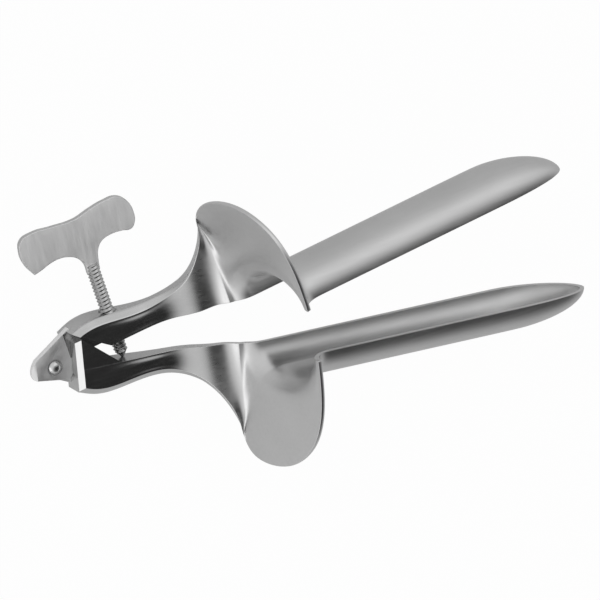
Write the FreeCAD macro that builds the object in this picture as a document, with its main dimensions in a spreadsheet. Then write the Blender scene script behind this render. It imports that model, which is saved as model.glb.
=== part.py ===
import FreeCAD, Part
import math
import os

import Sketcher

# Bivalve speculum, side hinged, stainless steel, millimetres.
# +Z is the rivet axis, +X runs from the rivet to the blade tips, +Y is the opening direction.
# Each valve is drawn in the closed position, with the mating plane at y = 0, and is then
# turned about the rivet by half of the opening.

SIZES = [
    ("half_opening", 6.85),
    ("mate_gap", 0.15),
    ("sheet_metal", 1.6),
    ("lumen_z", 37.7),
    ("blade_half_width", 13.5),
    ("blade_depth", 11.2),
    ("blade_end", 158.0),
    ("tip_length", 27.0),
    ("mouth_x", 68.0),
    ("lip_yaw", 18.0),
    ("mouth_roll", 8.6),
    ("lip_near_rim", 23.0),
    ("upper_lip_reach", 40.6),
    ("lower_lip_reach", 43.0),
    ("lip_far_rim", 19.6),
    ("lip_trim_depth", 14.0),
    ("arm_thick", 11.2),
    ("lug_thick", 2.55),
    ("lap_gap", 0.1),
    ("lug_radius", 7.4),
    ("lug_tip", 8.5),
    ("lower_lug_trim", 2.4),
    ("lap_clear", 0.3),
    ("shoulder_x", 6.5),
    ("block_corner_x", 8.6),
    ("seat_distance", 13.0),
    ("seat_angle", 51.35),
    ("seat_gap", 0.05),
    ("upper_inset", 0.6),
    ("lower_inset", 1.2),
    ("arm_hump", 11.6),
    ("arm_waist", 8.9),
    ("arm_bevel", 2.4),
    ("arm_flare", 34.0),
    ("block_chamfer", 1.8),
    ("lug_point_bevel", 1.1),
    ("screw_mouth", 0.7),
    ("rivet_shank", 3.2),
    ("rivet_head", 4.6),
    ("rivet_dome", 1.5),
    ("recess_diameter", 5.7),
    ("recess_depth", 0.8),
    ("running_gap", 0.05),
    ("screw_x", 24.5),
    ("screw_z", 5.6),
    ("screw_diameter", 4.9),
    ("thread_top", 24.5),
    ("head_diameter", 5.3),
    ("head_top", 29.5),
    ("slot_floor", 26.4),
    ("point_length", 2.0),
    ("point_base", 3.8),
    ("point_flat", 1.2),
    ("stem_diameter", 2.0),
    ("stem_length", 3.0),
    ("plate_thick", 2.0),
    ("plate_span", 42.6),
    ("plate_shift", 1.8),
    ("plate_height", 14.0),
    ("plate_top", 49.5),
]

os.makedirs("parts", exist_ok=True)
doc = FreeCAD.newDocument("speculum")
sheet = doc.addObject("Spreadsheet::Sheet", "Sizes")
for row, (alias, amount) in enumerate(SIZES, start=1):
    sheet.set(f"A{row}", alias)
    sheet.set(f"B{row}", str(amount))
    sheet.setAlias(f"B{row}", alias)
doc.recompute()


def size(alias):
    return float(sheet.get(alias))


def vec(x, y, z=0.0):
    return FreeCAD.Vector(x, y, z)


def shift(x, y, z, axis=None, angle=0.0):
    return FreeCAD.Placement(vec(x, y, z), FreeCAD.Rotation(axis or vec(0, 0, 1), angle))


def new_body(label):
    body = doc.addObject("PartDesign::Body", label + "_body")
    body.Label = label
    return body


def new_sketch(body, name, role, offset=None):
    sketch = body.newObject("Sketcher::SketchObject", f"{body.Name}_{name}")
    plane = [feature for feature in body.Origin.OriginFeatures if feature.Role == role][0]
    sketch.AttachmentSupport = [(plane, "")]
    sketch.MapMode = "FlatFace"
    if offset is not None:
        sketch.AttachmentOffset = offset
    return sketch


def add_path(sketch, points):
    """Straight sides through the points, closed back to the first."""
    for start, end in zip(points, points[1:] + points[:1]):
        sketch.addGeometry(Part.LineSegment(vec(*start), vec(*end)), False)


def add_line(sketch, start, end):
    sketch.addGeometry(Part.LineSegment(vec(*start), vec(*end)), False)


def add_arc(sketch, start, middle, end):
    sketch.addGeometry(Part.Arc(vec(*start), vec(*middle), vec(*end)), False)


def add_spline(sketch, points, first=None, last=None):
    """A smooth curve through the points, with chosen end directions where both are given."""
    curve = Part.BSplineCurve()
    through = [vec(*point) for point in points]
    if first is None:
        curve.interpolate(through)
    else:
        curve.interpolate(through, InitialTangent=vec(*first), FinalTangent=vec(*last))
    sketch.addGeometry(curve, False)


def add_ellipse(sketch, centre, across, along):
    """An ellipse with half width across (first axis) and along (second axis)."""
    middle = vec(*centre)
    on_long = middle + vec(0, along)
    on_short = middle + vec(across, 0)
    sketch.addGeometry(Part.Ellipse(on_long, on_short, middle), False)


def feature(body, kind, name, sketch, **settings):
    item = body.newObject(f"PartDesign::{kind}", f"{body.Name}_{name}")
    item.Profile = sketch
    for key, setting in settings.items():
        if isinstance(setting, str) and key in ("Length", "Angle"):
            item.setExpression(key, setting)
        else:
            setattr(item, key, setting)
    sketch.Visibility = False
    doc.recompute()
    return item


def revolve(body, kind, name, sketch):
    item = body.newObject(f"PartDesign::{kind}", f"{body.Name}_{name}")
    item.Profile = sketch
    item.ReferenceAxis = (sketch, ["V_Axis"])
    item.Angle = 360.0
    doc.recompute()
    return item


def edge_names(shape, wanted):
    return [f"Edge{index}" for index, edge in enumerate(shape.Edges, start=1) if wanted(edge)]


def edge_points(edge):
    steps = 7
    first, last = edge.ParameterRange
    return [edge.valueAt(first + (last - first) * step / steps) for step in range(steps + 1)]


def dress(body, kind, name, base, wanted, prop, expression):
    """A fillet or chamfer on the edges of the last feature that pass the test."""
    names = edge_names(base.Shape, wanted)
    item = body.newObject(f"PartDesign::{kind}", f"{body.Name}_{name}")
    item.Base = (base, names)
    item.setExpression(prop, expression)
    doc.recompute()
    return item


# Blades
# One sheet: a half-elliptic trough with a closed round tip, whose mouth rolls out
# into the tall lip. The lip's front face is a plane yawed about Y.

FAR_OUT = 70.0
TROUGH_START = 45.0
SPARE = 10.0


def lip_frame():
    return shift(0, size("lumen_z"), size("mouth_x"), vec(1, 0, 0), size("lip_yaw"))


def lip_depth(point):
    """Distance of a point behind the lip's front face."""
    yaw = math.radians(size("lip_yaw"))
    across = point.x - size("mouth_x")
    return across * math.cos(yaw) - (point.z - size("lumen_z")) * math.sin(yaw)


def on_lip_curve(depth):
    def wanted(edge):
        straight = isinstance(edge.Curve, (Part.Line, Part.LineSegment))
        return not straight and all(abs(lip_depth(p) - depth) < 0.01 for p in edge_points(edge))
    return wanted


def wide_square(sketch, reach):
    add_path(sketch, [(-reach, -reach), (reach, -reach), (reach, reach), (-reach, reach)])


def lip_outline(sketch, reach):
    """The lip's edge, seen square to its face: a broad rounded ear with a straight far rim."""
    near = size("lip_near_rim")
    far = size("lip_far_rim")
    below = -0.7 * reach
    ear = [
        (0.0, near),
        (0.37 * reach, 1.02 * near),
        (0.65 * reach, 0.91 * near),
        (0.92 * reach, 0.32 * near),
        (reach, -0.34 * far),
        (0.89 * reach, -1.05 * far),
        (0.6 * reach, -1.19 * far),
        (0.0, -far),
    ]
    add_spline(sketch, ear, (1.0, 0.08), (-1.0, 0.1))
    add_line(sketch, (0.0, -far), (below, -far))
    add_line(sketch, (below, -far), (below, near))
    add_line(sketch, (below, near), (0.0, near))


def make_blade(label, reach):
    body = new_body(label)
    length = f"Sizes.blade_end - {TROUGH_START}"
    wall = size("sheet_metal")

    outside = new_sketch(body, "trough", "YZ_Plane", shift(0, 0, TROUGH_START))
    add_ellipse(outside, (0, size("lumen_z")), size("blade_depth"), size("blade_half_width"))
    feature(body, "Pad", "trough_pad", outside, Length=length)

    front = new_sketch(body, "front", "YZ_Plane", lip_frame())
    wide_square(front, FAR_OUT)
    feature(body, "Pocket", "front_cut", front, Length=FAR_OUT)

    lip = new_sketch(body, "lip", "YZ_Plane", lip_frame())
    wide_square(lip, FAR_OUT)
    plate = feature(body, "Pad", "lip_pad", lip, Length="Sizes.sheet_metal")
    back_roll = "Sizes.mouth_roll - Sizes.sheet_metal"
    dress(body, "Fillet", "back_roll", plate, on_lip_curve(wall), "Radius", back_roll)

    inside = new_sketch(body, "lumen", "YZ_Plane", shift(0, 0, TROUGH_START))
    add_ellipse(inside, (0, size("lumen_z")), size("blade_depth") - wall, size("blade_half_width") - wall)
    bore = feature(body, "Pocket", "lumen_cut", inside, Length=length, Reversed=True)
    dress(body, "Fillet", "front_roll", bore, on_lip_curve(0.0), "Radius", "Sizes.mouth_roll")

    add_tip(body, "AdditiveEllipsoid", "tip_outside", "")
    add_tip(body, "SubtractiveEllipsoid", "tip_inside", " - Sizes.sheet_metal")

    trim = new_sketch(body, "trim", "YZ_Plane", lip_frame())
    wide_square(trim, FAR_OUT + SPARE)
    lip_outline(trim, reach)
    feature(body, "Pocket", "lip_trim", trim, Length="Sizes.lip_trim_depth", Reversed=True)

    half = new_sketch(body, "half", "XY_Plane")
    rim = size("mate_gap")
    away = -FAR_OUT - SPARE
    beyond = size("blade_end") + size("tip_length") + SPARE
    add_path(half, [(0, rim), (beyond, rim), (beyond, away), (0, away)])
    feature(body, "Pocket", "half_cut", half, Length=2 * (FAR_OUT + SPARE), Midplane=True)
    return body


def mirror_blade(label, blade):
    """The lower valve's blade is drawn like the upper one and mirrored in the mating plane."""
    mirrored = doc.addObject("Part::Mirroring", label + "_mirrored")
    mirrored.Source = blade
    mirrored.Normal = vec(0, 1, 0)
    mirrored.Label = label
    return mirrored


def add_tip(body, kind, name, less):
    """Half an ellipsoid beyond the end of the trough."""
    tip = body.newObject(f"PartDesign::{kind}", f"{body.Name}_{name}")
    tip.setExpression("Radius1", "Sizes.blade_half_width" + less)
    tip.setExpression("Radius2", "Sizes.blade_depth" + less)
    tip.setExpression("Radius3", "Sizes.tip_length" + less)
    tip.Angle3 = 180.0
    tip.Placement = shift(size("blade_end"), 0, size("lumen_z"), vec(0, 0, 1), -90.0)
    doc.recompute()


# Arms
# Each arm is a forged bar. Its lug lies in one layer of the lap joint, and the rest
# of the bar stops at a shoulder. The lower arm's near block overhangs the upper lug
# and its sloping seat is the closed stop.

BAR_END = 63.2
BEND_X = 42.0
BLOCK_ROOT = 3.0
BAR_ROOM = 40.0


def seat_point(y, gap=0.0):
    angle = math.radians(size("seat_angle"))
    return (size("seat_distance") + gap - y * math.sin(angle)) / math.cos(angle)


def outer_edge():
    hump = size("arm_hump")
    waist = size("arm_waist")
    flare = size("arm_flare")
    return [
        (size("shoulder_x"), 0.83 * hump),
        (11.5, 0.95 * hump),
        (18.0, hump),
        (28.6, 0.5 * (hump + waist) - 0.5),
        (36.0, waist),
        (43.2, waist + 0.7),
        (49.0, 0.34 * flare),
        (54.0, 0.475 * flare),
        (59.0, 0.71 * flare),
        (BAR_END, flare),
    ]


def make_bar(body, side, inset):
    edge = outer_edge()
    gap = size("mate_gap")
    left = size("shoulder_x")
    profile = new_sketch(body, "side_profile", "XY_Plane")
    add_spline(profile, [(x, side * w) for x, w in edge])
    add_line(profile, (BAR_END, side * edge[-1][1]), (BAR_END, side * gap))
    add_line(profile, (BAR_END, side * gap), (BEND_X + 10.0, side * gap))
    add_line(profile, (BEND_X + 10.0, side * gap), (BEND_X - 6.0, side * inset))
    add_line(profile, (BEND_X - 6.0, side * inset), (left, side * inset))
    add_line(profile, (left, side * inset), (left, side * edge[0][1]))
    feature(body, "Pad", "bar", profile, Length=BAR_ROOM)

    thick = size("arm_thick")
    near = new_sketch(body, "near_face", "XZ_Plane")
    near_curve = [(BEND_X, thick), (48.0, thick + 1.9), (54.0, thick + 5.3), (60.0, thick + 9.6),
                  (BAR_END, thick + 12.4)]
    add_spline(near, near_curve, (1.0, 0.05), (1.0, 1.1))
    above = BAR_ROOM + SPARE
    add_line(near, near_curve[-1], (BAR_END, above))
    add_line(near, (BAR_END, above), (0.0, above))
    add_line(near, (0.0, above), (0.0, thick))
    add_line(near, (0.0, thick), (BEND_X, thick))
    feature(body, "Pocket", "near_cut", near, Length=2 * FAR_OUT, Midplane=True)

    far = new_sketch(body, "far_face", "XZ_Plane")
    far_curve = [(15.0, 0.0), (26.0, 2.0), (35.0, 5.2), (45.0, 8.5), (54.0, 14.0),
                 (BAR_END, 21.3)]
    add_spline(far, far_curve, (1.0, 0.05), (1.0, 1.0))
    add_line(far, far_curve[-1], (BAR_END, -5.0))
    add_line(far, (BAR_END, -5.0), (15.0, -5.0))
    add_line(far, (15.0, -5.0), (15.0, 0.0))
    return feature(body, "Pocket", "far_cut", far, Length=2 * FAR_OUT, Midplane=True)


def make_lug(body, side, floor, trim=0.0):
    """The flat lug of one layer: straight edges, a rounded tip and a round inner side."""
    radius = size("lug_radius")
    inner_x = 0.49 * radius
    inner_y = math.sqrt(radius ** 2 - inner_x ** 2)
    inset = 1.6
    stop_x = math.sqrt(radius ** 2 - inset ** 2)
    corner = [(-5.8 + 0.5 * trim, 5.0 - trim), (trim - size("lug_tip"), 1.5 - trim), (trim - 8.0, -1.8)]
    shoulder = (9.3, 0.96 * size("arm_hump") - trim)
    root = (14.0, 0.9 * size("arm_hump"))
    turn = 0.5 * (math.atan2(-inner_y, inner_x) + math.atan2(inset, stop_x))
    on_arc = (radius * math.cos(turn), radius * math.sin(turn))
    lug = new_sketch(body, "lug", "XY_Plane", shift(0, 0, floor))

    def flip(point):
        return (point[0], side * point[1])

    add_line(lug, flip(corner[0]), flip(shoulder))
    add_line(lug, flip(shoulder), flip(root))
    add_line(lug, flip(root), flip((root[0], inset)))
    add_line(lug, flip((root[0], inset)), flip((stop_x, inset)))
    add_arc(lug, flip((stop_x, inset)), flip(on_arc), flip((inner_x, -inner_y)))
    add_line(lug, flip((inner_x, -inner_y)), flip(corner[2]))
    add_arc(lug, flip(corner[2]), flip(corner[1]), flip(corner[0]))
    return feature(body, "Pad", "lug_pad", lug, Length="Sizes.lug_thick")


def cut_swing(body, floor, height):
    """Room for the other valve's lug to turn in one layer."""
    ring = new_sketch(body, "swing", "XY_Plane", shift(0, 0, floor))
    radius = size("lug_radius") + size("lap_clear")
    ring.addGeometry(Part.Circle(vec(0, 0), vec(0, 0, 1), radius), False)
    feature(body, "Pocket", "swing_cut", ring, Length=height, Reversed=True)


def near_outer_edge(edge):
    thick = size("arm_thick")
    points = edge_points(edge)
    flat = all(abs(point.z - thick) < 0.01 for point in points)
    outside = all(abs(point.y) > 0.7 * size("arm_waist") for point in points)
    return flat and outside and edge.Length > 12.0


def bore(body, name, profile, offset=None):
    hole = new_sketch(body, name, "XZ_Plane" if offset is None else "XY_Plane", offset)
    add_path(hole, profile)
    revolve(body, "Groove", name + "_cut", hole)


def make_upper_arm():
    body = new_body("upper_arm_forging")
    make_bar(body, 1, size("upper_inset"))
    layer = size("lug_thick") + size("lap_gap")
    cut_swing(body, -1.0, layer + 1.0)
    make_lug(body, 1, layer)
    top = layer + size("lug_thick")
    seat = new_sketch(body, "seat", "XY_Plane", shift(0, 0, top))
    gap = size("seat_gap")
    low = -5.0
    high = 2 * size("arm_hump")
    far = -BAR_ROOM
    wedge = [(seat_point(low, gap), low), (seat_point(high, gap), high), (far, high), (far, low)]
    add_path(seat, wedge)
    seated = feature(body, "Pocket", "seat_cut", seat, Length=BAR_ROOM, Reversed=True)
    dress(body, "Chamfer", "bevel", seated, near_outer_edge, "Size", "Sizes.arm_bevel")
    bevel_lug_point(body, top)
    shank = 0.5 * size("rivet_shank") + size("running_gap")
    wide = 0.5 * size("recess_diameter")
    floor = top - size("recess_depth")
    bore(body, "rivet_hole", [(0, layer - 1), (shank, layer - 1), (shank, floor), (wide, floor),
                              (wide, top + 1), (0, top + 1)])
    thread = 0.5 * size("screw_diameter") + size("running_gap")
    flare = size("screw_mouth")
    mouth = thread + flare
    high = size("arm_hump") - 1.5
    outside = high + SPARE
    bore(body, "screw_hole", [(0, -1), (thread, -1), (thread, high - flare), (mouth, high),
                              (mouth, outside), (0, outside)], screw_frame())
    return body


def bevel_lug_point(body, top):
    """The lug's end is filed to a slope on its near side."""
    slope = new_sketch(body, "point_slope", "XZ_Plane")
    depth = size("lug_point_bevel")
    start = -size("lug_tip")
    add_path(slope, [(start - 1.0, top - depth), (start, top - depth), (start + 1.8 * depth, top),
                     (start + 1.8 * depth, top + 1.0), (start - 1.0, top + 1.0)])
    feature(body, "Pocket", "point_cut", slope, Length=2 * SPARE, Midplane=True)


def make_lower_arm():
    body = new_body("lower_arm_forging")
    make_bar(body, -1, size("lower_inset"))
    lug = size("lug_thick")
    gap = size("lap_gap")
    block_floor = 2 * (lug + gap)
    cut_swing(body, lug, block_floor - lug)
    make_lug(body, -1, 0.0, size("lower_lug_trim"))
    block = new_sketch(body, "block", "XY_Plane", shift(0, 0, block_floor))
    left = size("shoulder_x")
    corner = size("block_corner_x")
    low = -size("lower_inset")
    angle = math.radians(size("seat_angle"))
    corner_y = (size("seat_distance") - corner * math.cos(angle)) / math.sin(angle)
    add_path(block, [(left, -BLOCK_ROOT - 2.0), (left, corner_y - 1.4), (corner, corner_y),
                     (seat_point(low), low), (seat_point(low), low - BLOCK_ROOT)])
    height = "Sizes.arm_thick - 2 * (Sizes.lug_thick + Sizes.lap_gap)"
    blocked = feature(body, "Pad", "block_pad", block, Length=height)
    dress(body, "Chamfer", "bevel", blocked, near_outer_edge, "Size", "Sizes.arm_bevel")
    end = new_sketch(body, "block_end", "XZ_Plane")
    top = size("arm_thick")
    slope = size("block_chamfer")
    add_path(end, [(left - 1.0, top - slope - 1.0), (left + slope + 1.0, top + 1.0), (left - 1.0, top + 1.0)])
    feature(body, "Pocket", "end_slope", end, Length=2 * FAR_OUT, Midplane=True)
    shank = 0.5 * size("rivet_shank")
    head = 0.5 * size("rivet_head")
    bore(body, "rivet_hole", [(0, -1), (head, -1), (head, 0), (shank, head - shank),
                              (shank, lug + 1), (0, lug + 1)])
    return body


# Pivot rivet
# Turned pin, peened flush in the lower lug, with a domed head in the upper lug's recess.

def make_rivet():
    body = new_body("pivot_rivet")
    shank = 0.5 * size("rivet_shank")
    head = 0.5 * size("rivet_head")
    top = 2 * size("lug_thick") + size("lap_gap")
    floor = top - size("recess_depth") + size("running_gap")
    rim = top + 0.2
    crown = top + size("rivet_dome")
    cap = crown - rim
    ball = (head ** 2 + cap ** 2) / (2 * cap)
    half_turn = 0.5 * math.asin(head / ball)
    middle = (ball * math.sin(half_turn), crown - ball + ball * math.cos(half_turn))
    profile = new_sketch(body, "profile", "XZ_Plane")
    corners = [(0, crown), (0, 0), (head, 0), (shank, head - shank), (shank, floor), (head, floor), (head, rim)]
    for start, end in zip(corners, corners[1:]):
        add_line(profile, start, end)
    add_arc(profile, (head, rim), middle, (0, crown))
    revolve(body, "Revolution", "turned", profile)
    return body


# Thumbscrew
# Threaded shank with a slotted head, a flat dog-bone thumb plate let into the slot, and
# a conical point on a stem, which stays still against the lower arm while the screw turns.

def point_level():
    """Height along the screw of the point's end, 0.1 short of the lower arm's inner face."""
    opening = math.radians(2 * size("half_opening"))
    travel = size("screw_x") * math.tan(opening) + size("lower_inset") / math.cos(opening)
    return -travel + 2 * size("running_gap")


def screw_frame():
    return shift(size("screw_x"), 0, size("screw_z"))


def make_screw():
    body = new_body("screw_shank")
    radius = 0.5 * size("screw_diameter")
    head = 0.5 * size("head_diameter")
    bottom = point_level() + size("point_length") + size("running_gap")
    stem = 0.5 * size("stem_diameter") + size("running_gap")
    deep = bottom + size("stem_length") + size("running_gap")
    neck = size("thread_top")
    top = size("head_top")
    profile = new_sketch(body, "profile", "XY_Plane", screw_frame())
    add_path(profile, [(0, deep), (stem, deep), (stem, bottom), (radius - 0.4, bottom), (radius, bottom + 0.4),
                       (radius, neck), (head, neck + 0.6), (head, top - 0.8), (head - 0.8, top), (0, top)])
    revolve(body, "Revolution", "turned", profile)
    slot = new_sketch(body, "slot", "YZ_Plane", shift(0, 0, size("screw_x")))
    half = 0.5 * size("plate_thick")
    low = size("screw_z") - half
    high = size("screw_z") + half
    floor = size("slot_floor")
    add_path(slot, [(floor, low), (top + 1, low), (top + 1, high), (floor, high)])
    feature(body, "Pocket", "slot_cut", slot, Length=2 * SPARE, Midplane=True)
    return body


def make_plate():
    """Flat dog-bone thumb plate with a tail that narrows into the slot."""
    body = new_body("thumb_plate")
    half = 0.5 * size("plate_span")
    centre = size("screw_x") - size("plate_shift")
    top = size("plate_top")
    low = top - size("plate_height")
    tail = 0.5 * size("head_diameter") - 0.2
    axis = size("screw_x")
    outline = new_sketch(body, "outline", "XY_Plane", shift(0, 0, size("screw_z")))
    upper = [(centre - half, low + 10.5), (centre - 0.62 * half, top), (centre, top - 1.9),
             (centre + 0.64 * half, top - 0.7), (centre + half, low + 4.0), (centre + 0.86 * half, low - 0.6),
             (centre + 0.5 * half, low + 0.7), (axis + 4.2, low - 2.0), (axis + tail, slot_level(0.45))]
    add_spline(outline, upper)
    add_line(outline, (axis + tail, slot_level(0.45)), (axis + tail, size("slot_floor")))
    add_line(outline, (axis + tail, size("slot_floor")), (axis - tail, size("slot_floor")))
    add_line(outline, (axis - tail, size("slot_floor")), (axis - tail, slot_level(0.45)))
    lower = [(axis - tail, slot_level(0.45)), (axis - 4.0, low - 1.6), (centre - 0.5 * half, low + 2.2),
             (centre - 0.88 * half, low + 0.0)]
    add_spline(outline, lower)
    corner = [lower[-1], (centre - 0.985 * half, low + 4.0), (centre - half, low + 10.5)]
    add_spline(outline, corner)
    feature(body, "Pad", "plate_pad", outline, Length="Sizes.plate_thick", Midplane=True)
    return body


def slot_level(share):
    return size("slot_floor") + share * (size("head_top") - size("slot_floor"))


def make_point():
    body = new_body("swivel_tip")
    low = point_level()
    base = low + size("point_length")
    stem = 0.5 * size("stem_diameter")
    profile = new_sketch(body, "profile", "XY_Plane", screw_frame())
    add_path(profile, [(0, low), (0.5 * size("point_flat"), low), (0.5 * size("point_base"), base),
                       (stem, base), (stem, base + size("stem_length")), (0, base + size("stem_length"))])
    revolve(body, "Revolution", "turned", profile)
    return body


def seat_on_blade(label, arm, blade):
    """The arm's end is fitted to the lip that it is brazed on."""
    fitted = doc.addObject("Part::Cut", label + "_fitted")
    fitted.Base = arm
    fitted.Tool = blade
    fitted.Label = label
    return fitted


def turn_valve(pieces, angle):
    for piece in pieces:
        piece.Placement = shift(0, 0, 0, vec(0, 0, 1), angle)


upper_blade = make_blade("upper_blade", size("upper_lip_reach"))
lower_pressing = make_blade("lower_pressing", size("lower_lip_reach"))
upper_forging = make_upper_arm()
lower_forging = make_lower_arm()
pivot_rivet = make_rivet()
screw_shank = make_screw()
thumb_plate = make_plate()
swivel_tip = make_point()
upper_pieces = [upper_blade, lower_pressing, upper_forging, screw_shank, thumb_plate, swivel_tip]
turn_valve(upper_pieces, size("half_opening"))
turn_valve([lower_forging], -size("half_opening"))
lower_blade = mirror_blade("lower_blade", lower_pressing)
upper_arm = seat_on_blade("upper_arm", upper_forging, upper_blade)
lower_arm = seat_on_blade("lower_arm", lower_forging, lower_blade)
doc.recompute()

for item in doc.Objects:
    if "Invalid" in item.State or "Error" in item.State:
        raise RuntimeError(f"{item.Name} did not build: {item.State}")

nodes = [lower_arm, lower_blade, upper_arm, upper_blade, pivot_rivet, screw_shank, thumb_plate, swivel_tip]
for node in nodes:
    if node.Shape.isNull() or not node.Shape.isValid():
        raise RuntimeError(f"{node.Label} has no valid shape")
    node.Shape.exportStep(f"parts/{node.Label}.step")
    print(node.Label, len(node.Shape.Solids), round(node.Shape.Volume, 1))
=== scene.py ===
import bmesh
import bpy
import math
from mathutils import Matrix, Vector
from mathutils.kdtree import KDTree


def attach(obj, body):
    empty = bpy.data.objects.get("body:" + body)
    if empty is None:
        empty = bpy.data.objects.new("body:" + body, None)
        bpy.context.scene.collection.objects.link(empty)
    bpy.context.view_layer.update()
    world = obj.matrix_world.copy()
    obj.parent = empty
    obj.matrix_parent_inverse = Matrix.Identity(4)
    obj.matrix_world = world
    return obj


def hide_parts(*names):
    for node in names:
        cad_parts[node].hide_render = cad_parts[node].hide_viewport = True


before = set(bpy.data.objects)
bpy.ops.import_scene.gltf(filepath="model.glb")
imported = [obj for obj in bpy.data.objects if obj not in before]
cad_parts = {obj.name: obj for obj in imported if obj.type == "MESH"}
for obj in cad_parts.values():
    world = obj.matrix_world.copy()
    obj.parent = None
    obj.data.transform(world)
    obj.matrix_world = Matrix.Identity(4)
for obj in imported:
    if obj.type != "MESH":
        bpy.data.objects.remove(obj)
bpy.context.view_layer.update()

# Camera
# The photograph is taken from far off with a long lens, so parallel lines stay nearly parallel.

PHOTO_TARGET = Vector((0.0822, 0.0050, 0.0352))
PHOTO_WIDTH = 0.2069
CAMERA_DISTANCE = 5.0
SENSOR = 36.0

back = Vector((-0.3405, 0.3375, 0.878)).normalized()
right = Vector((0.8869, -0.1951, 0.419))
up = back.cross(right).normalized()
right = up.cross(back).normalized()
camera_data = bpy.data.cameras.new("photo_camera")
camera_data.sensor_width = SENSOR
camera_data.lens = SENSOR * CAMERA_DISTANCE / PHOTO_WIDTH
camera_data.clip_start = 0.01
camera_data.clip_end = 20.0
camera = bpy.data.objects.new("photo_camera", camera_data)
camera.matrix_world = Matrix.Translation(PHOTO_TARGET + CAMERA_DISTANCE * back) @ Matrix(
    (right, up, back)).transposed().to_4x4()
bpy.context.scene.collection.objects.link(camera)
bpy.context.scene.camera = camera
bpy.context.scene.view_settings.view_transform = "Standard"

# Studio
# White surroundings with a dim ceiling, a softbox at the left for the rolled mouths, one behind
# for the troughs' insides, and a pale floor that keeps a faint shadow.


def node(tree, kind, place=None, **settings):
    item = tree.nodes.new(kind)
    for key, setting in settings.items():
        setattr(item, key, setting)
    for name, amount in (place or {}).items():
        item.inputs[name].default_value = amount
    return item


world = bpy.data.worlds.new("studio")
bpy.context.scene.world = world
world.use_nodes = True
sky = world.node_tree
sky.nodes.clear()
direction = node(sky, "ShaderNodeTexCoord")
overhead = node(sky, "ShaderNodeVectorMath", operation="DOT_PRODUCT")
overhead.inputs[1].default_value = Vector((0.36, -0.42, 0.83)).normalized()
dim = node(sky, "ShaderNodeMapRange", interpolation_type="SMOOTHSTEP",
           place={"From Min": 0.35, "From Max": 0.93, "To Min": 0.97, "To Max": 0.03})
split_way = node(sky, "ShaderNodeSeparateXYZ")
skyline = node(sky, "ShaderNodeMapRange", interpolation_type="SMOOTHSTEP",
               place={"From Min": 0.02, "From Max": 0.42, "To Min": 0.8, "To Max": 1.0})
both = node(sky, "ShaderNodeMath", operation="MULTIPLY")
rays = node(sky, "ShaderNodeLightPath")
surround = node(sky, "ShaderNodeBackground", {"Color": (1, 1, 1, 1)})
plain = node(sky, "ShaderNodeBackground", {"Color": (1, 1, 1, 1), "Strength": 1.0})
soft = node(sky, "ShaderNodeBackground", {"Color": (1, 1, 1, 1), "Strength": 0.55})
see_studio = node(sky, "ShaderNodeMixShader")
see_plain = node(sky, "ShaderNodeMixShader")
shine = node(sky, "ShaderNodeMath", operation="MAXIMUM")
sky_out = node(sky, "ShaderNodeOutputWorld")
sky.links.new(direction.outputs["Generated"], overhead.inputs[0])
sky.links.new(overhead.outputs["Value"], dim.inputs["Value"])
sky.links.new(direction.outputs["Generated"], split_way.inputs[0])
sky.links.new(split_way.outputs["Z"], skyline.inputs["Value"])
sky.links.new(dim.outputs["Result"], both.inputs[0])
sky.links.new(skyline.outputs["Result"], both.inputs[1])
sky.links.new(both.outputs[0], surround.inputs["Strength"])
sky.links.new(rays.outputs["Is Glossy Ray"], shine.inputs[0])
sky.links.new(rays.outputs["Is Transmission Ray"], shine.inputs[1])
sky.links.new(shine.outputs[0], see_studio.inputs[0])
sky.links.new(soft.outputs[0], see_studio.inputs[1])
sky.links.new(surround.outputs[0], see_studio.inputs[2])
sky.links.new(rays.outputs["Is Camera Ray"], see_plain.inputs[0])
sky.links.new(see_studio.outputs[0], see_plain.inputs[1])
sky.links.new(plain.outputs[0], see_plain.inputs[2])
sky.links.new(see_plain.outputs[0], sky_out.inputs[0])


def softbox(name, place, aim, width, height, power):
    light = bpy.data.lights.new(name, "AREA")
    light.shape = "RECTANGLE"
    light.size = width
    light.size_y = height
    light.energy = power
    lamp = bpy.data.objects.new(name, light)
    lamp.location = place
    lamp.rotation_euler = (Vector(aim) - Vector(place)).to_track_quat("-Z", "Y").to_euler()
    bpy.context.scene.collection.objects.link(lamp)


softbox("key_softbox", (-1.10, -0.35, 0.20), PHOTO_TARGET, 1.1, 0.8, 2.6)
softbox("trough_softbox", (0.42, 0.62, 0.80), PHOTO_TARGET, 0.9, 0.9, 0.8)

floor_mesh = bpy.data.meshes.new("floor")
floor_half = 4.0
floor_level = -0.0004
floor_mesh.from_pydata(
    [(-floor_half, -floor_half, floor_level), (floor_half, -floor_half, floor_level),
     (floor_half, floor_half, floor_level), (-floor_half, floor_half, floor_level)],
    [], [(0, 1, 2, 3)])
floor = bpy.data.objects.new("floor", floor_mesh)
bpy.context.scene.collection.objects.link(floor)
floor_look = bpy.data.materials.new("pale_floor")
floor_look.use_nodes = True
tree = floor_look.node_tree
tree.nodes.clear()
paper = node(tree, "ShaderNodeBsdfDiffuse", {"Color": (0.93, 0.93, 0.93, 1)})
glow = node(tree, "ShaderNodeEmission", {"Color": (1, 1, 1, 1), "Strength": 1.0})
floor_rays = node(tree, "ShaderNodeLightPath")
mirrored = node(tree, "ShaderNodeMath", operation="MULTIPLY")
mirrored.inputs[1].default_value = 0.25
share = node(tree, "ShaderNodeMath", operation="MULTIPLY_ADD")
share.inputs[1].default_value = 0.97
floor_mix = node(tree, "ShaderNodeMixShader")
floor_out = node(tree, "ShaderNodeOutputMaterial")
tree.links.new(floor_rays.outputs["Is Glossy Ray"], mirrored.inputs[0])
tree.links.new(floor_rays.outputs["Is Camera Ray"], share.inputs[0])
tree.links.new(mirrored.outputs[0], share.inputs[2])
tree.links.new(share.outputs[0], floor_mix.inputs[0])
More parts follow.
